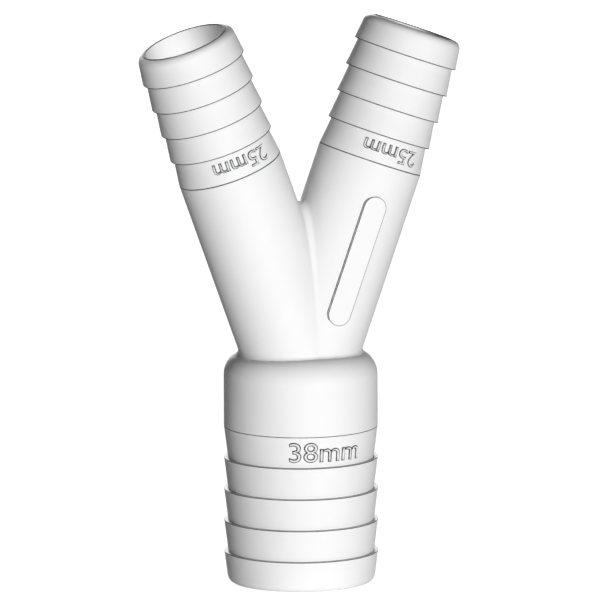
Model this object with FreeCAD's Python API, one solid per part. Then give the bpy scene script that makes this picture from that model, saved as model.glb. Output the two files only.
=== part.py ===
"""Hose Y connector: one 38 mm tail and two 25 mm tails, moulded in one piece.

The Y lies in the XZ plane and stands on the rim of its 38 mm tail.
The origin is the middle of that rim, +Z runs up to the fork and -Y is the front, with the bare pad.
All sizes are in millimetres.
"""
import FreeCAD, Part
import math
import os

from FreeCAD import Placement, Rotation, Vector

# Main tail, for a hose of 38 mm
main_crest_radius = 19.4
main_root_radius = 18.4
main_bore_radius = 16.0
main_barb_pitch = 8.0
main_barb_count = 4
main_nose_radius = 2.0

# Collar above the main tail, with its rounded shoulder and the chamfer inside it
collar_height = 19.0
shoulder_radius = 6.0
core_chamfer = 2.0

# Branch tails, for hoses of 25 mm
branch_crest_radius = 13.4
branch_root_radius = 12.5
branch_bore_radius = 10.5
branch_barb_pitch = 7.0
branch_barb_count = 4
branch_nose_radius = 2.0
branch_barrel_length = 55.0

# Fork, where the three axes cross inside the collar
fork_angle = 20.0
fork_depth = 4.0
crotch_fillet = 1.5
foot_chamfer = 0.7

# Bare pad on the front of one branch
pad_length = 34.0
pad_width = 6.0
pad_rise = 0.5
pad_from_fork = 30.0

# Each nose is rounded by short cones, which keep the mesh light
nose_steps = 4

# A tail has its barbs and one more cone above them, where the size mark goes
main_tail_length = main_barb_pitch * (main_barb_count + 1)
branch_tail_length = branch_barb_pitch * (branch_barb_count + 1)
fork_height = main_tail_length + collar_height - fork_depth
collar_wall = main_crest_radius - main_bore_radius

up = Vector(0, 0, 1)
outward = Vector(1, 0, 0)
front = Vector(0, -1, 0)
touching = 0.001


def line(start, end):
    """Straight edge."""
    return Part.LineSegment(start, end).toShape()


def turned(edges, first, last):
    """Solid turned about the Z axis from an outline that runs from first to last."""
    foot = Vector(0, 0, first.z)
    head = Vector(0, 0, last.z)
    profile = Part.Wire([line(foot, first)] + edges + [line(last, head), line(head, foot)])
    return Part.Face(profile).revolve(Vector(0, 0, 0), up, 360)


def barbed_tail(start, crest, root, pitch, count, barrel_end, nose):
    """Outline of a plain barrel, its barbs and its rounded nose, with the point where it meets the rim."""
    edges = []
    point = start
    crest_point = Vector(crest, 0, barrel_end)
    for _ in range(count):
        root_point = Vector(root, 0, crest_point.z + pitch)
        edges += [line(point, crest_point), line(crest_point, root_point)]
        point = root_point
        crest_point = Vector(crest, 0, root_point.z)
    edges.append(line(point, crest_point))
    point = crest_point
    slope = math.atan2(crest - root, pitch)
    reach = nose * math.tan((math.pi / 2 - slope) / 2)
    centre = Vector(root - reach, 0, crest_point.z + pitch - nose)
    for step in range(nose_steps + 1):
        angle = slope + (math.pi / 2 - slope) * step / nose_steps
        turn = centre + Vector(math.cos(angle), 0, math.sin(angle)) * nose
        edges.append(line(point, turn))
        point = turn
    return edges, point


def main_body():
    """Collar and main tail, along +Z from the top of the collar."""
    centre = Vector(main_crest_radius - shoulder_radius, 0, shoulder_radius)
    inner = centre - up * shoulder_radius
    outer = centre + outward * shoulder_radius
    middle = centre + (outward - up).normalize() * shoulder_radius
    shoulder = Part.Arc(inner, middle, outer).toShape()
    edges, rim = barbed_tail(
        outer,
        main_crest_radius,
        main_root_radius,
        main_barb_pitch,
        main_barb_count,
        collar_height,
        main_nose_radius,
    )
    return turned([shoulder] + edges, inner, rim)


def main_core():
    """Space inside the collar and the main tail, along +Z from the top of the collar."""
    inner = Vector(main_bore_radius - core_chamfer, 0, collar_wall)
    outer = Vector(main_bore_radius, 0, collar_wall + core_chamfer)
    mouth = Vector(main_bore_radius, 0, collar_height + main_tail_length)
    return turned([line(inner, outer), line(outer, mouth)], inner, mouth)


def branch_body():
    """Barrel and tail of one branch, along +Z from the fork."""
    start = Vector(branch_crest_radius, 0, 0)
    edges, rim = barbed_tail(
        start,
        branch_crest_radius,
        branch_root_radius,
        branch_barb_pitch,
        branch_barb_count,
        branch_barrel_length,
        branch_nose_radius,
    )
    return turned(edges, start, rim)


def branch_core():
    """Bore of one branch, along +Z from the fork."""
    return Part.makeCylinder(branch_bore_radius, branch_barrel_length + branch_tail_length)


def bare_pad():
    """Pad with round ends and a flat face, from the middle of a branch out through its front."""
    side = outward * (pad_width / 2)
    low = up * (pad_from_fork - (pad_length - pad_width) / 2)
    high = up * (pad_from_fork + (pad_length - pad_width) / 2)
    round_end = up * (pad_width / 2)
    outline = Part.Wire([
        line(low + side, high + side),
        Part.Arc(high + side, high + round_end, high - side).toShape(),
        line(high - side, low - side),
        Part.Arc(low - side, low - round_end, low + side).toShape(),
    ])
    return Part.Face(outline).extrude(front * (branch_crest_radius + pad_rise))


def hung_from_collar(shape):
    """Shape turned over, from its own axis to the top of the collar."""
    placed = shape.copy()
    placed.Placement = Placement(up * (main_tail_length + collar_height), Rotation(front, 180))
    return placed


def on_branch(shape, side):
    """Shape moved from its own axis to the branch on the +X side (1) or the -X side (-1)."""
    placed = shape.copy()
    placed.Placement = Placement(up * fork_height, Rotation(front, -side * fork_angle))
    return placed


def lies_on(edge, *bodies):
    """Whether the middle of an edge lies on the skin of each body."""
    middle = Part.Vertex(edge.valueAt((edge.FirstParameter + edge.LastParameter) / 2))
    return all(middle.distToShape(body.Shells[0])[0] < touching for body in bodies)


def blended(collar, left, right):
    """Collar and branches joined, with a fillet in the crotch and a chamfer round the branches' foot."""
    joined = collar.fuse([left, right]).Solids[0]
    crotch = [edge for edge in joined.Edges if lies_on(edge, left, right)]
    forked = joined.makeFillet(crotch_fillet, crotch)
    turned_edges = ("Part::GeomLine", "Part::GeomCircle")
    foot = [edge for edge in forked.Edges if edge.Curve.TypeId not in turned_edges and lies_on(edge, collar)]
    return forked.makeChamfer(foot_chamfer, foot)


def y_connector():
    """The whole moulding."""
    outside = blended(
        hung_from_collar(main_body()),
        on_branch(branch_body(), -1),
        on_branch(branch_body(), 1),
    )
    cores = [hung_from_collar(main_core()), on_branch(branch_core(), -1), on_branch(branch_core(), 1)]
    return outside.fuse(on_branch(bare_pad(), 1)).cut(cores).Solids[0]


os.makedirs("parts", exist_ok=True)
y_connector().exportStep("parts/y_connector_body.step")
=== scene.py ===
"""Hose Y connector in white moulded plastic, standing on a plain pale floor.

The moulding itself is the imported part. This file gives it its finish and its smooth shading, and adds the
raised size marks, the floor, the soft lamps and the camera. All sizes are in metres.
"""
import logging
import math
from dataclasses import dataclass
from enum import Enum

import bpy
from mathutils import Matrix, Vector


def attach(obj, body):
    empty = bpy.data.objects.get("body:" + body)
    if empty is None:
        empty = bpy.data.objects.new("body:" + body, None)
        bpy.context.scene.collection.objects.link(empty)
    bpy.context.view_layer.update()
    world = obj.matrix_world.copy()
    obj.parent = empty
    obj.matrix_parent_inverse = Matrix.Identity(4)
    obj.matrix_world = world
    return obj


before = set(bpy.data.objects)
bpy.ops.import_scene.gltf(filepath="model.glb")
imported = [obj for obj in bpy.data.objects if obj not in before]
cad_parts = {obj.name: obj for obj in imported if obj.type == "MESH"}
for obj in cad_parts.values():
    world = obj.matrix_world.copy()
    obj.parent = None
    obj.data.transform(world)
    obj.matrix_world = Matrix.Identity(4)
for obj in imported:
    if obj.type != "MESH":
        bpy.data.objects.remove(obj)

log = logging.getLogger("y_connector")

Tree = bpy.types.NodeTree
Socket = bpy.types.NodeSocket
Span = tuple[object, object]
Color = tuple[float, float, float, float]

MM = 0.001
UP = Vector((0, 0, 1))
FRONT = Vector((0, -1, 0))
WHITE: Color = (1, 1, 1, 1)

BODY = "root"

# Nearly all of a noise texture lies in this range.
NOISE_RANGE = (0.3, 0.7)

# The branches' axes cross at the fork and lean to either side. A branch's barrel reaches from there to its tail.
FORK = Vector((0, 0, 55 * MM))
FORK_ANGLE = math.radians(20)
BARREL_LENGTH = 55 * MM


def grey(level: float) -> Color:
    """Grey of one level."""
    return (level, level, level, 1)


def placed(name: str, data: bpy.types.ID) -> bpy.types.Object:
    """Puts a new object into the scene.

    Args:
        name: Name of the object.
        data: Its mesh, letters, light or camera.

    Returns:
        The object.
    """
    thing = bpy.data.objects.new(name, data)
    bpy.context.scene.collection.objects.link(thing)
    return thing


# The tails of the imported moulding


class Side(Enum):
    """The side that a branch leans to."""

    LEFT = -1
    RIGHT = 1

    def lean(self) -> Vector:
        """Direction from the fork to the branch's mouth."""
        return Vector((self.value * math.sin(FORK_ANGLE), 0, math.cos(FORK_ANGLE)))


@dataclass(frozen=True)
class Tail:
    """Barbed tail, from the wide end of the cone with its size mark, along its axis, to its mouth."""

    start: Vector
    along: Vector
    pitch: float
    root: float
    crest: float
    bore: float
    barbs: int = 4

    def mouth(self) -> Vector:
        """Middle of the mouth."""
        return self.start + self.along * self.pitch * (self.barbs + 1)

    def over_mark_cone(self, reach: float, across: float, above: float) -> Vector:
        """Finds a point near the skin of the cone with the size mark.

        Args:
            reach: Distance from the wide end, along the axis.
            across: Distance round the skin from the middle of the front, to the reader's right.
            above: Height over the skin.

        Returns:
            The point in the part's frame.
        """
        radius = self.crest + (self.root - self.crest) * reach / self.pitch
        reading_right = (-self.along).cross(FRONT)
        angle = across / ((self.crest + self.root) / 2)
        outward = FRONT * math.cos(angle) + reading_right * math.sin(angle)
        return self.start + self.along * reach + outward * (radius + above)


MAIN_TAIL = Tail(
    start=Vector((0, 0, 40 * MM)),
    along=-UP,
    pitch=8 * MM,
    root=18.4 * MM,
    crest=19.4 * MM,
    bore=16 * MM,
)


def branch_tail(side: Side) -> Tail:
    """Finds the tail of one branch.

    Args:
        side: The side that the branch leans to.

    Returns:
        The tail.
    """
    return Tail(
        start=FORK + side.lean() * BARREL_LENGTH,
        along=side.lean(),
        pitch=7 * MM,
        root=12.5 * MM,
        crest=13.4 * MM,
        bore=10.5 * MM,
    )


# Shader nodes


def group_of(name: str, inputs: dict[str, tuple[str, object]], outputs: dict[str, str]) -> Tree:
    """Makes an empty shader node group with named sockets.

    Args:
        name: Name of the group.
        inputs: Kind and first value of each input socket, by its name.
        outputs: Kind of each output socket, by its name.

    Returns:
        The group, with its input and output nodes in place.
    """
    group = bpy.data.node_groups.new(name, "ShaderNodeTree")
    for title, (kind, value) in inputs.items():
        socket = group.interface.new_socket(title, in_out="INPUT", socket_type=kind)
        socket.default_value = value
    for title, kind in outputs.items():
        group.interface.new_socket(title, in_out="OUTPUT", socket_type=kind)
    group.nodes.new("NodeGroupInput").name = "given"
    group.nodes.new("NodeGroupOutput").name = "made"
    return group


def feed(tree: Tree, place: Socket, value: object) -> None:
    """Links a socket to an input, or sets the input to a plain value.

    Args:
        tree: Node tree that both lie in.
        place: Input to feed.
        value: Socket or plain value that goes in.
    """
    if isinstance(value, Socket):
        tree.links.new(value, place)
    else:
        place.default_value = value


def placed_group(tree: Tree, group: Tree, values: dict[str, object]) -> bpy.types.Node:
    """Places a shader node group with its own values.

    Args:
        tree: Node tree to place it in.
        group: The group.
        values: Socket or plain value for each input, by its name.

    Returns:
        The group's node.
    """
    node = tree.nodes.new("ShaderNodeGroup")
    node.node_tree = group
    for title, value in values.items():
        feed(tree, node.inputs[title], value)
    return node


def math_node(tree: Tree, operation: str, *values: object) -> Socket:
    """Places a sum of numbers.

    Args:
        tree: Node tree to place it in.
        operation: Name of the sum.
        values: Sockets or plain numbers that go in.

    Returns:
        Socket with the result.
    """
    node = tree.nodes.new("ShaderNodeMath")
    node.operation = operation
    for place, value in zip(node.inputs, values):
        feed(tree, place, value)
    return node.outputs["Value"]


def vector_math(tree: Tree, operation: str, *values: object) -> Socket:
    """Places a sum of vectors.

    Args:
        tree: Node tree to place it in.
        operation: Name of the sum.
        values: Sockets or plain vectors that go in.

    Returns:
        Socket with the result, which is a number for a length or a dot product.
    """
    node = tree.nodes.new("ShaderNodeVectorMath")
    node.operation = operation
    for place, value in zip(node.inputs, values):
        feed(tree, place, value)
    return node.outputs["Value" if operation in ("LENGTH", "DOT_PRODUCT") else "Vector"]


def map_range(tree: Tree, value: object, given: Span, wanted: Span) -> Socket:
    """Stretches a number from one range over another, and holds it inside.

    Args:
        tree: Node tree to place the node in.
        value: Number to stretch.
        given: Ends of the range that the number runs over.
        wanted: What those ends become.

    Returns:
        Socket with the result.
    """
    node = tree.nodes.new("ShaderNodeMapRange")
    titles = ("Value", "From Min", "From Max", "To Min", "To Max")
    for title, number in zip(titles, (value, *given, *wanted)):
        feed(tree, node.inputs[title], number)
    return node.outputs["Result"]


def mixed(tree: Tree, kind: str, share: object, first: object, second: object) -> Socket:
    """Mixes two numbers or two colours.

    Args:
        tree: Node tree to place the node in.
        kind: FLOAT for numbers, RGBA for colours.
        share: Share of the second.
        first: First number or colour.
        second: Second number or colour.

    Returns:
        Socket with the result.
    """
    node = tree.nodes.new("ShaderNodeMix")
    node.data_type = kind
    for title, value in (("Factor", share), ("A", first), ("B", second)):
        feed(tree, node.inputs[title], value)
    return node.outputs["Result"]


def place_on_object(tree: Tree) -> Socket:
    """Places the node that tells each point's place in the part's frame."""
    return tree.nodes.new("ShaderNodeTexCoord").outputs["Object"]


def noise(tree: Tree, scale: float, detail: float) -> Socket:
    """Places a noise texture that lies still on the object.

    Args:
        tree: Node tree to place it in.
        scale: Waves per metre.
        detail: Number of finer layers.

    Returns:
        Socket with the noise.
    """
    texture = tree.nodes.new("ShaderNodeTexNoise")
    for title, value in (("Vector", place_on_object(tree)), ("Scale", scale), ("Detail", detail)):
        feed(tree, texture.inputs[title], value)
    return texture.outputs["Fac"]


def round_axis(tree: Tree, place: Socket, start: Vector, along: Vector) -> tuple[Socket, Socket]:
    """Measures a place by its distance along an axis and its distance from the axis.

    Args:
        tree: Node tree to place the nodes in.
        place: Socket with the place on the object.
        start: Point on the axis from which the distance along it counts.
        along: Direction of the axis.

    Returns:
        Sockets with the distance along the axis and the distance from it.
    """
    from_start = vector_math(tree, "SUBTRACT", place, start)
    on_axis = vector_math(tree, "PROJECT", from_start, along)
    radius = vector_math(tree, "LENGTH", vector_math(tree, "SUBTRACT", from_start, on_axis))
    return vector_math(tree, "DOT_PRODUCT", from_start, along), radius


def on_edges(tree: Tree, rise: Socket, foot: float, edge: float, width: float) -> Socket:
    """Finds the two edges of a low wall, for painted shade lines, and leaves the rest of the wall bare.

    Args:
        tree: Node tree to place the nodes in.
        rise: Socket with the distance up the wall.
        foot: Distance at the foot of the wall.
        edge: Distance at its outer edge.
        width: Width of a line.

    Returns:
        Socket that is 1 near the foot and the edge, and beyond the edge.
    """
    lowest = foot - 4 * width
    outside = math_node(tree, "GREATER_THAN", rise, lowest)
    middle_band = math_node(tree, "COMPARE", rise, (foot + edge) / 2, (edge - foot - width) / 2)
    return math_node(tree, "SUBTRACT", outside, middle_band)


# Finishes


@dataclass(frozen=True)
class MouldedGrain:
    """Skin of a moulding: fine grain from the tool, and slow waves where the plastic cooled."""

    grain_scale: float = 1 / (0.35 * MM)
    grain_detail: float = 2
    wave_scale: float = 1 / (9 * MM)
    wave_detail: float = 1
    cloud_scale: float = 1 / (26 * MM)
    cloud_detail: float = 3

    def group(self) -> Tree:
        """Builds the shader group that puts out the skin's height, its tone and its roughness.

        Returns:
            The group, with inputs for how rough and how even the skin is.
        """
        tree = group_of(
            "moulded_grain",
            {
                "Roughness": ("NodeSocketFloat", 0.5),
                "Roughness Spread": ("NodeSocketFloat", 0.06),
                "Tone Spread": ("NodeSocketFloat", 0.02),
                "Wave Share": ("NodeSocketFloat", 0.5),
            },
            {"Height": "NodeSocketFloat", "Tone": "NodeSocketFloat", "Roughness": "NodeSocketFloat"},
        )
        given, made = tree.nodes["given"].outputs, tree.nodes["made"].inputs
        grain = noise(tree, self.grain_scale, self.grain_detail)
        wave = noise(tree, self.wave_scale, self.wave_detail)
        cloud = noise(tree, self.cloud_scale, self.cloud_detail)
        height = mixed(tree, "FLOAT", given["Wave Share"], grain, wave)
        cast = map_range(tree, cloud, NOISE_RANGE, (-1, 1))
        speck = map_range(tree, grain, NOISE_RANGE, (-1, 1))
        tone = math_node(tree, "MULTIPLY_ADD", cast, given["Tone Spread"], 1)
        rough = math_node(tree, "MULTIPLY_ADD", speck, given["Roughness Spread"], given["Roughness"])
        feed(tree, made["Height"], height)
        feed(tree, made["Tone"], tone)
        feed(tree, made["Roughness"], rough)
        return tree


@dataclass(frozen=True)
class CornerShade:
    """Painted shade: grey mixed into the colour in corners, found by ambient occlusion, and along painted shade
    lines.
    """

    name: str
    own_corners: bool
    samples: int = 8

    def group(self) -> Tree:
        """Builds the shader group that paints shade into a colour in corners and along lines.

        Returns:
            The group, with inputs for the colours, for how tight the corners are and for the lines.
        """
        tree = group_of(
            self.name,
            {
                "Color": ("NodeSocketColor", grey(0.8)),
                "Corner Color": ("NodeSocketColor", grey(0.4)),
                "Tone": ("NodeSocketFloat", 1),
                "Reach": ("NodeSocketFloat", 1.2 * MM),
                "Open": ("NodeSocketFloat", 0.8),
                "Closed": ("NodeSocketFloat", 0.68),
                "Strength": ("NodeSocketFloat", 0.5),
                "Lines": ("NodeSocketFloat", 0),
            },
            {"Color": "NodeSocketColor"},
        )
        given, made = tree.nodes["given"].outputs, tree.nodes["made"].inputs
        # Ambient occlusion finds the corners, where the colour is darkened as painted shade.
        sky = tree.nodes.new("ShaderNodeAmbientOcclusion")
        sky.samples = self.samples
        sky.only_local = self.own_corners
        feed(tree, sky.inputs["Distance"], given["Reach"])
        corners = map_range(tree, sky.outputs["AO"], (given["Open"], given["Closed"]), (0, given["Strength"]))
        dark = math_node(tree, "MAXIMUM", corners, given["Lines"])
        toned = vector_math(tree, "MULTIPLY", given["Color"], given["Tone"])
        feed(tree, made["Color"], mixed(tree, "RGBA", dark, toned, given["Corner Color"]))
        return tree


@dataclass(frozen=True)
class PaintedFootShade:
    """Painted shade in the hollow where the branches rise out of the rounded shoulder: the painted corner shade
    is strong there and weak elsewhere.
    """

    height: float = 54.5 * MM
    near: float = 3.8 * MM
    far: float = 5.2 * MM
    strong: float = 0.76
    weak: float = 0.12

    def strength(self, tree: Tree) -> Socket:
        """Builds the strength of the painted shade in corners.

        Args:
            tree: Node tree of the moulding's material.

        Returns:
            Socket that is strong in the hollow and weak far from it.
        """
        height = vector_math(tree, "DOT_PRODUCT", place_on_object(tree), UP)
        away = math_node(tree, "ABSOLUTE", math_node(tree, "SUBTRACT", height, self.height))
        return map_range(tree, away, (self.near, self.far), (self.strong, self.weak))


@dataclass(frozen=True)
class RingLines:
    """Painted shade lines round the crests of one tail's barbs, shifted a little towards the tail's mouth."""

    tail: Tail
    width: float
    shift_share: float = 0.25

    def mask(self, tree: Tree, place: Socket) -> Socket:
        """Draws the lines.

        Args:
            tree: Node tree of the moulding's material.
            place: Socket with the place on the object.

        Returns:
            Socket that is 1 on the lines.
        """
        tail = self.tail
        reach, radius = round_axis(tree, place, tail.start, tail.along)
        past_middle = math_node(tree, "SUBTRACT", reach, self.width * self.shift_share)
        past_ring = math_node(tree, "PINGPONG", past_middle, tail.pitch / 2)
        near_ring = math_node(tree, "LESS_THAN", past_ring, self.width / 2)
        half_span = tail.pitch * tail.barbs / 2
        in_span = math_node(tree, "COMPARE", reach, half_span, half_span + tail.pitch / 4)
        edges = on_edges(tree, radius, tail.root, tail.crest, self.width)
        return math_node(tree, "MULTIPLY", near_ring, math_node(tree, "MULTIPLY", in_span, edges))


@dataclass(frozen=True)
class MouthLine:
    """Painted shade line round the edge of a bore's mouth, on the rim and just inside."""

    tail: Tail
    rim: float = 0.65 * MM
    depth: float = 0.25 * MM

    def mask(self, tree: Tree, place: Socket) -> Socket:
        """Draws the line.

        Args:
            tree: Node tree of the moulding's material.
            place: Socket with the place on the object.

        Returns:
            Socket that is 1 on the line.
        """
        reach, radius = round_axis(tree, place, self.tail.mouth(), self.tail.along)
        on_rim = math_node(tree, "COMPARE", radius, self.tail.bore, self.rim)
        return math_node(tree, "MULTIPLY", on_rim, math_node(tree, "COMPARE", reach, 0, self.depth))


@dataclass(frozen=True)
class PadLine:
    """Painted shade line round the bare pad on the front of the right branch, which has round ends."""

    from_fork: float = 30 * MM
    half_straight: float = 14 * MM
    round_end: float = 3 * MM
    foot: float = 13.1 * MM
    face: float = 13.9 * MM
    width: float = 0.26 * MM

    def mask(self, tree: Tree, place: Socket) -> Socket:
        """Draws the line.

        Args:
            tree: Node tree of the moulding's material.
            place: Socket with the place on the object.

        Returns:
            Socket that is 1 on the line.
        """
        lean = Side.RIGHT.lean()
        from_middle = vector_math(tree, "SUBTRACT", place, FORK + lean * self.from_fork)
        along = math_node(tree, "ABSOLUTE", vector_math(tree, "DOT_PRODUCT", from_middle, lean))
        beyond = math_node(tree, "MAXIMUM", math_node(tree, "SUBTRACT", along, self.half_straight), 0)
        across = vector_math(tree, "DOT_PRODUCT", from_middle, lean.cross(FRONT))
        square = math_node(tree, "MULTIPLY", across, across)
        away = math_node(tree, "SQRT", math_node(tree, "MULTIPLY_ADD", beyond, beyond, square))
        near = math_node(tree, "COMPARE", away, self.round_end, self.width / 2)
        rise = vector_math(tree, "DOT_PRODUCT", place, FRONT)
        return math_node(tree, "MULTIPLY", near, on_edges(tree, rise, self.foot, self.face, self.width))


@dataclass(frozen=True)
class EdgeShadeLines:
    """Painted shade: fine dark lines on sharp edges and in the corners at their feet, round barbs, mouths and
    the bare pad.
    """

    main_width: float = 0.22 * MM
    branch_width: float = 0.3 * MM
    strength: float = 0.95

    def mask(self, tree: Tree) -> Socket:
        """Builds the mask of all lines.

        Args:
            tree: Node tree of the moulding's material.

        Returns:
            Socket with the lines' strength on them and 0 elsewhere.
        """
        place = place_on_object(tree)
        both_sides = vector_math(tree, "ABSOLUTE", place)
        branch = branch_tail(Side.RIGHT)
        lines = PadLine().mask(tree, place)
        for line, where in (
            (RingLines(MAIN_TAIL, self.main_width), place),
            (MouthLine(MAIN_TAIL), place),
            (RingLines(branch, self.branch_width), both_sides),
            (MouthLine(branch), both_sides),
        ):
            lines = math_node(tree, "MAXIMUM", lines, line.mask(tree, where))
        return math_node(tree, "MULTIPLY", lines, self.strength)


@dataclass(frozen=True)
class WhiteMoulding:
    """White plastic with the satin skin of a polished mould, with painted shade in its corners and painted shade
    lines on its sharp edges.
    """

    name: str = "white_moulding"
    color: Color = grey(0.86)
    corner_shade: CornerShade = CornerShade("own_corner_shade", own_corners=True)
    # Painted shade: the corner fields set the grey laid into corners, and the lines are painted shade lines on
    # sharp edges.
    corner_color: Color = grey(0.06)
    corner_reach: float = 9 * MM
    corner_open: float = 0.94
    corner_closed: float = 0.6
    corner_strength: PaintedFootShade | float = PaintedFootShade()
    lines: EdgeShadeLines | None = EdgeShadeLines()
    edge_radius: float = 0.1 * MM
    edge_samples: int = 6
    roughness: float = 0.62
    roughness_spread: float = 0.05
    tone_spread: float = 0.012
    wave_share: float = 0.55
    skin_depth: float = 0.012 * MM
    gloss: float = 0.15
    ior: float = 1.5

    def with_painted_shade(self, tree: Tree, tone: Socket) -> Socket:
        """Builds the colour, with its tone, its painted corner shade and its painted shade lines.

        Args:
            tree: Node tree of the material.
            tone: Socket with the skin's tone.

        Returns:
            Socket with the colour.
        """
        strength = self.corner_strength
        if isinstance(strength, PaintedFootShade):
            strength = strength.strength(tree)
        values = {
            "Color": self.color,
            "Corner Color": self.corner_color,
            "Tone": tone,
            "Reach": self.corner_reach,
            "Open": self.corner_open,
            "Closed": self.corner_closed,
            "Strength": strength,
        }
        if self.lines:
            values["Lines"] = self.lines.mask(tree)
        return placed_group(tree, self.corner_shade.group(), values).outputs["Color"]

    def bumped(self, tree: Tree, height: Socket) -> Socket:
        """Builds the normal, with slightly rounded edges and the skin's grain.

        Args:
            tree: Node tree of the material.
            height: Socket with the skin's height.

        Returns:
            Socket with the normal.
        """
        edge = tree.nodes.new("ShaderNodeBevel")
        edge.samples = self.edge_samples
        edge.inputs["Radius"].default_value = self.edge_radius
        bump = tree.nodes.new("ShaderNodeBump")
        bump.inputs["Strength"].default_value = 1
        bump.inputs["Distance"].default_value = self.skin_depth
        feed(tree, bump.inputs["Height"], height)
        feed(tree, bump.inputs["Normal"], edge.outputs["Normal"])
        return bump.outputs["Normal"]

    def material(self, grain: Tree) -> bpy.types.Material:
        """Builds the material.

        Args:
            grain: Shader group of the moulded skin.

        Returns:
            The finished material.
        """
        material = bpy.data.materials.new(self.name)
        material.use_nodes = True
        tree = material.node_tree
        values = {
            "Roughness": self.roughness,
            "Roughness Spread": self.roughness_spread,
            "Tone Spread": self.tone_spread,
            "Wave Share": self.wave_share,
        }
        skin = placed_group(tree, grain, values).outputs
        shader = tree.nodes["Principled BSDF"].inputs
        shader["Metallic"].default_value = 0
        shader["IOR"].default_value = self.ior
        shader["Specular IOR Level"].default_value = self.gloss
        feed(tree, shader["Base Color"], self.with_painted_shade(tree, skin["Tone"]))
        feed(tree, shader["Roughness"], skin["Roughness"])
        feed(tree, shader["Normal"], self.bumped(tree, skin["Height"]))
        return material


@dataclass(frozen=True)
class MarkMoulding(WhiteMoulding):
    """The same plastic on the raised size marks, with painted shade on their steep sides next to the moulding.
    """

    name: str = "white_moulding_marks"
    corner_shade: CornerShade = CornerShade("seat_corner_shade", own_corners=False)
    # Painted shade on the marks' steep sides, within a short reach of the moulding.
    corner_color: Color = grey(0.035)
    corner_reach: float = 0.5 * MM
    corner_open: float = 0.985
    corner_closed: float = 0.93
    corner_strength: PaintedFootShade | float = 1.0
    lines: EdgeShadeLines | None = None
    edge_radius: float = 0.03 * MM


def white_where_seen(tree: Tree) -> Socket:
    """Finds what is seen straight, in a reflection or through something clear.

    Args:
        tree: Node tree of a material or of the world.

    Returns:
        Socket that is 1 for those rays and 0 for the rays that light the object.
    """
    path = tree.nodes.new("ShaderNodeLightPath").outputs
    seen = math_node(tree, "MAXIMUM", path["Is Camera Ray"], path["Is Glossy Ray"])
    return math_node(tree, "MAXIMUM", seen, path["Is Transmission Ray"])


@dataclass(frozen=True)
class PaleBoard:
    """Plain pale board: white where the camera looks at it, with the object's shadow on it."""

    name: str = "pale_board"
    color: Color = grey(0.82)
    lift: float = 0.9

    def material(self) -> bpy.types.Material:
        """Builds the material.

        Returns:
            The finished material.
        """
        material = bpy.data.materials.new(self.name)
        material.use_nodes = True
        tree = material.node_tree
        tree.nodes.clear()
        board = tree.nodes.new("ShaderNodeBsdfDiffuse")
        board.inputs["Color"].default_value = self.color
        glow = tree.nodes.new("ShaderNodeEmission")
        glow.inputs["Color"].default_value = WHITE
        feed(tree, glow.inputs["Strength"], math_node(tree, "MULTIPLY", white_where_seen(tree), self.lift))
        both = tree.nodes.new("ShaderNodeAddShader")
        feed(tree, both.inputs[0], board.outputs["BSDF"])
        feed(tree, both.inputs[1], glow.outputs["Emission"])
        out = tree.nodes.new("ShaderNodeOutputMaterial")
        feed(tree, out.inputs["Surface"], both.outputs["Shader"])
        return material


# The object


@dataclass
class Moulding:
    """The moulding as packed, shaded smooth over its rounded edges."""

    finish: WhiteMoulding = WhiteMoulding()
    node: str = "y_connector_body"
    weld_distance: float = 0.001 * MM
    crease_angle: float = math.radians(50)
    normal_weight: int = 50

    def smooth(self, part: bpy.types.Object) -> None:
        """Joins the faces of the mesh and keeps only its real edges sharp.

        Args:
            part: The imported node's object.
        """
        weld = part.modifiers.new("joined_faces", "WELD")
        weld.merge_threshold = self.weld_distance
        crease = part.modifiers.new("sharp_edges", "EDGE_SPLIT")
        crease.use_edge_angle = True
        crease.split_angle = self.crease_angle
        even = part.modifiers.new("even_normals", "WEIGHTED_NORMAL")
        even.weight = self.normal_weight
        even.keep_sharp = True

    def build(self, grain: Tree) -> bpy.types.Object:
        """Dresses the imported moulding.

        Args:
            grain: Shader group of the moulded skin.

        Returns:
            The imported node's object.
        """
        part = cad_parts[self.node]
        self.smooth(part)
        material = self.finish.material(grain)
        for place in part.material_slots:
            place.material = material
        return part


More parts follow.
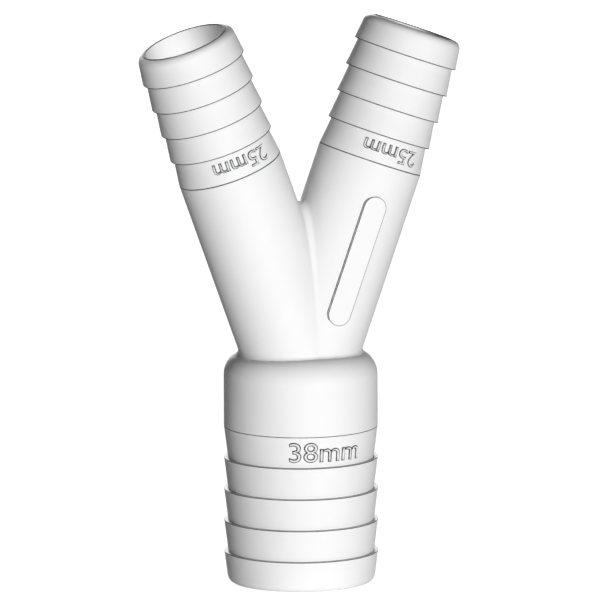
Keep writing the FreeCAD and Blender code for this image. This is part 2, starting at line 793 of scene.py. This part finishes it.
@dataclass
class SizeMark:
    """Raised size mark, bent round its tail's cone, with its top towards the middle of the part."""

    name: str
    text: str
    tail: Tail
    height: float
    width: float
    relief: float = 0.3 * MM
    sunk: float = 0.02 * MM
    slope_share: float = 0.053
    thinned: float = 0.6
    curve_steps: int = 5

    def flat_mesh(self) -> bpy.types.Mesh:
        """Makes the mark flat, from the plain built-in letters.

        Returns:
            Mesh of the mark, one unit high at its digits.
        """
        letters = bpy.data.curves.new(self.name + "_letters", "FONT")
        letters.body = self.text
        letters.resolution_u = self.curve_steps
        letters.bevel_depth = self.slope_share
        letters.bevel_resolution = 0
        letters.offset = -self.slope_share * self.thinned
        carrier = placed(self.name + "_letters", letters)
        bpy.context.view_layer.update()
        shown = carrier.evaluated_get(bpy.context.evaluated_depsgraph_get())
        mesh = bpy.data.meshes.new_from_object(shown)
        bpy.data.objects.remove(carrier)
        bpy.data.curves.remove(letters)
        return mesh

    def bend(self, mesh: bpy.types.Mesh) -> None:
        """Scales the flat mark to its size and lays it round the cone, its back half under the skin.

        Args:
            mesh: The flat mark, changed in place.
        """
        spots = [vertex.co.copy() for vertex in mesh.vertices]
        left, right = min(p.x for p in spots), max(p.x for p in spots)
        low, high = min(p.y for p in spots), max(p.y for p in spots)
        back, face = min(p.z for p in spots), max(p.z for p in spots)
        for vertex, spot in zip(mesh.vertices, spots):
            across = ((spot.x - left) / (right - left) - 0.5) * self.width
            rise = ((spot.y - low) / (high - low) - 0.5) * self.height
            above = self.relief - (face - spot.z) / (face - back) * 2 * (self.relief + self.sunk)
            vertex.co = self.tail.over_mark_cone(self.tail.pitch / 2 - rise, across, above)

    def build(self, material: bpy.types.Material) -> bpy.types.Object:
        """Makes the mark and seats it on its cone.

        Args:
            material: Finish of the mark.

        Returns:
            The mark's object.
        """
        mesh = self.flat_mesh()
        self.bend(mesh)
        mesh.materials.clear()
        mesh.materials.append(material)
        mark = placed(self.name, mesh)
        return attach(mark, BODY)


@dataclass
class SizeMarks:
    """The three size marks, one on each tail."""

    finish: MarkMoulding = MarkMoulding()
    main_height: float = 5.3 * MM
    main_width: float = 19.5 * MM
    branch_height: float = 4.1 * MM
    branch_width: float = 15.6 * MM

    def build(self, grain: Tree) -> list[bpy.types.Object]:
        """Makes the three marks.

        Args:
            grain: Shader group of the moulded skin.

        Returns:
            The marks' objects.
        """
        marks = [SizeMark("main_size_mark", "38mm", MAIN_TAIL, self.main_height, self.main_width)]
        for side in Side:
            name = side.name.lower() + "_size_mark"
            marks.append(SizeMark(name, "25mm", branch_tail(side), self.branch_height, self.branch_width))
        material = self.finish.material(grain)
        return [mark.build(material) for mark in marks]


# The studio


def towards(azimuth: float, elevation: float) -> Vector:
    """Direction from the object, with azimuth 0 to its front, in degrees."""
    turn, lift = math.radians(azimuth), math.radians(elevation)
    return Vector((math.sin(turn) * math.cos(lift), -math.cos(turn) * math.cos(lift), math.sin(lift)))


@dataclass(frozen=True)
class Lamp:
    """Lamp that faces a spot, with the brightness that it gives a white surface there."""

    name: str
    spot: Vector
    azimuth: float
    elevation: float
    distance: float
    brightness: float

    def hung(self, light: bpy.types.Light) -> bpy.types.Object:
        """Hangs a light.

        Args:
            light: The light.

        Returns:
            The lamp's object.
        """
        back = towards(self.azimuth, self.elevation)
        lamp = placed(self.name, light)
        lamp.location = self.spot + back * self.distance
        lamp.rotation_euler = back.to_track_quat("Z", "Y").to_euler()
        return lamp


@dataclass(frozen=True)
class Softbox(Lamp):
    """Flat soft lamp for the whole object."""

    width: float
    height: float

    def build(self) -> bpy.types.Object:
        """Makes the lamp and hangs it.

        Returns:
            The lamp's object.
        """
        light = bpy.data.lights.new(self.name, "AREA")
        light.shape = "RECTANGLE"
        light.size = self.width
        light.size_y = self.height
        light.energy = self.brightness * math.pi**2 * self.distance**2
        lamp = self.hung(light)
        lamp.visible_camera = False
        return lamp


@dataclass(frozen=True)
class Snoot(Lamp):
    """Narrow soft lamp that looks down into a mouth."""

    reach: float

    def build(self) -> bpy.types.Object:
        """Makes the lamp and hangs it.

        Returns:
            The lamp's object.
        """
        light = bpy.data.lights.new(self.name, "SPOT")
        light.spot_size = 2 * math.atan(self.reach / self.distance)
        light.spot_blend = 1
        light.shadow_soft_size = self.reach / 3
        light.energy = self.brightness * 4 * math.pi**2 * self.distance**2
        return self.hung(light)


# The low softbox lights the front, the back softbox the rear, and the snoots the branches' mouths.
MIDDLE = Vector((0, 0, 70 * MM))
LAMPS = (
    Softbox(
        name="low_softbox",
        spot=MIDDLE,
        azimuth=-5,
        elevation=-1.8,
        distance=1.2,
        brightness=1.0,
        width=0.3,
        height=0.05,
    ),
    Softbox(
        name="back_softbox",
        spot=MIDDLE,
        azimuth=165,
        elevation=9,
        distance=2.4,
        brightness=0.85,
        width=0.5,
        height=0.5,
    ),
    Snoot(
        name="left_snoot",
        spot=Vector((-30 * MM, 12.5 * MM, 134.5 * MM)),
        azimuth=-22,
        elevation=42,
        distance=0.8,
        brightness=1.42,
        reach=15 * MM,
    ),
    Snoot(
        name="right_snoot",
        spot=Vector((30.5 * MM, 10.5 * MM, 138.5 * MM)),
        azimuth=-20,
        elevation=42,
        distance=0.8,
        brightness=1.0,
        reach=9 * MM,
    ),
)


@dataclass
class Studio:
    """Pale floor, dim even room and soft lamps."""

    floor_size: float = 12.0
    room_light: float = 0.022
    board: PaleBoard = PaleBoard()
    lamps: tuple[Softbox | Snoot, ...] = LAMPS

    def floor(self) -> bpy.types.Object:
        """Lays the floor under the object.

        Returns:
            The floor's object.
        """
        half = self.floor_size / 2
        mesh = bpy.data.meshes.new("floor")
        corners = [(-half, -half, 0), (half, -half, 0), (half, half, 0), (-half, half, 0)]
        mesh.from_pydata(corners, [], [(0, 1, 2, 3)])
        mesh.materials.append(self.board.material())
        floor = placed("floor", mesh)
        return floor

    def room(self) -> None:
        """Sets the even light of the room, which is white where it is seen."""
        world = bpy.data.worlds.new("room")
        world.use_nodes = True
        bpy.context.scene.world = world
        tree = world.node_tree
        background = tree.nodes["Background"]
        background.inputs["Color"].default_value = WHITE
        strength = map_range(tree, white_where_seen(tree), (0, 1), (self.room_light, 1))
        feed(tree, background.inputs["Strength"], strength)

    def build(self) -> list[bpy.types.Object]:
        """Lights the room, hangs the lamps and lays the floor.

        Returns:
            The lamps' objects and the floor's object.
        """
        self.room()
        return [lamp.build() for lamp in self.lamps] + [self.floor()]


@dataclass(frozen=True)
class LongLens:
    """Camera far away with a long lens, so that the axes look parallel."""

    azimuth: float = -20.2
    elevation: float = 9.8
    roll: float = 0.235
    distance: float = 6.8
    clip_start: float = 1.7
    clip_end: float = 13.6
    frame_width: float = 151.12 * MM
    aim_height: float = 71.79 * MM
    aim_right: float = -0.06 * MM
    sensor: float = 36.0

    def build(self) -> bpy.types.Object:
        """Sets up the camera and makes it the scene's own.

        Returns:
            The camera's object.
        """
        lens = bpy.data.cameras.new("long_lens")
        lens.sensor_width = self.sensor
        lens.lens = self.sensor * self.distance / self.frame_width
        lens.clip_start = self.clip_start
        lens.clip_end = self.clip_end
        back = towards(self.azimuth, self.elevation)
        right = UP.cross(back).normalized()
        level = Matrix((right, back.cross(right), back)).transposed()
        turned = level @ Matrix.Rotation(math.radians(-self.roll), 3, "Z")
        place = UP * self.aim_height + right * self.aim_right + back * self.distance
        camera = placed("long_lens", lens)
        camera.matrix_world = Matrix.Translation(place) @ turned.to_4x4()
        bpy.context.scene.camera = camera
        return camera


def main() -> None:
    """Builds the dressed object and its studio, and reports each piece."""
    logging.basicConfig(level=logging.INFO, format="%(message)s")
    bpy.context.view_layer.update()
    grain = MouldedGrain().group()
    for piece in [Moulding().build(grain)] + SizeMarks().build(grain):
        log.info("dressed %s", piece.name)
    for thing in Studio().build() + [LongLens().build()]:
        log.info("placed %s", thing.name)
    bpy.context.scene.view_settings.view_transform = "Standard"
    bpy.context.view_layer.update()


if __name__ == "__main__":
    main()
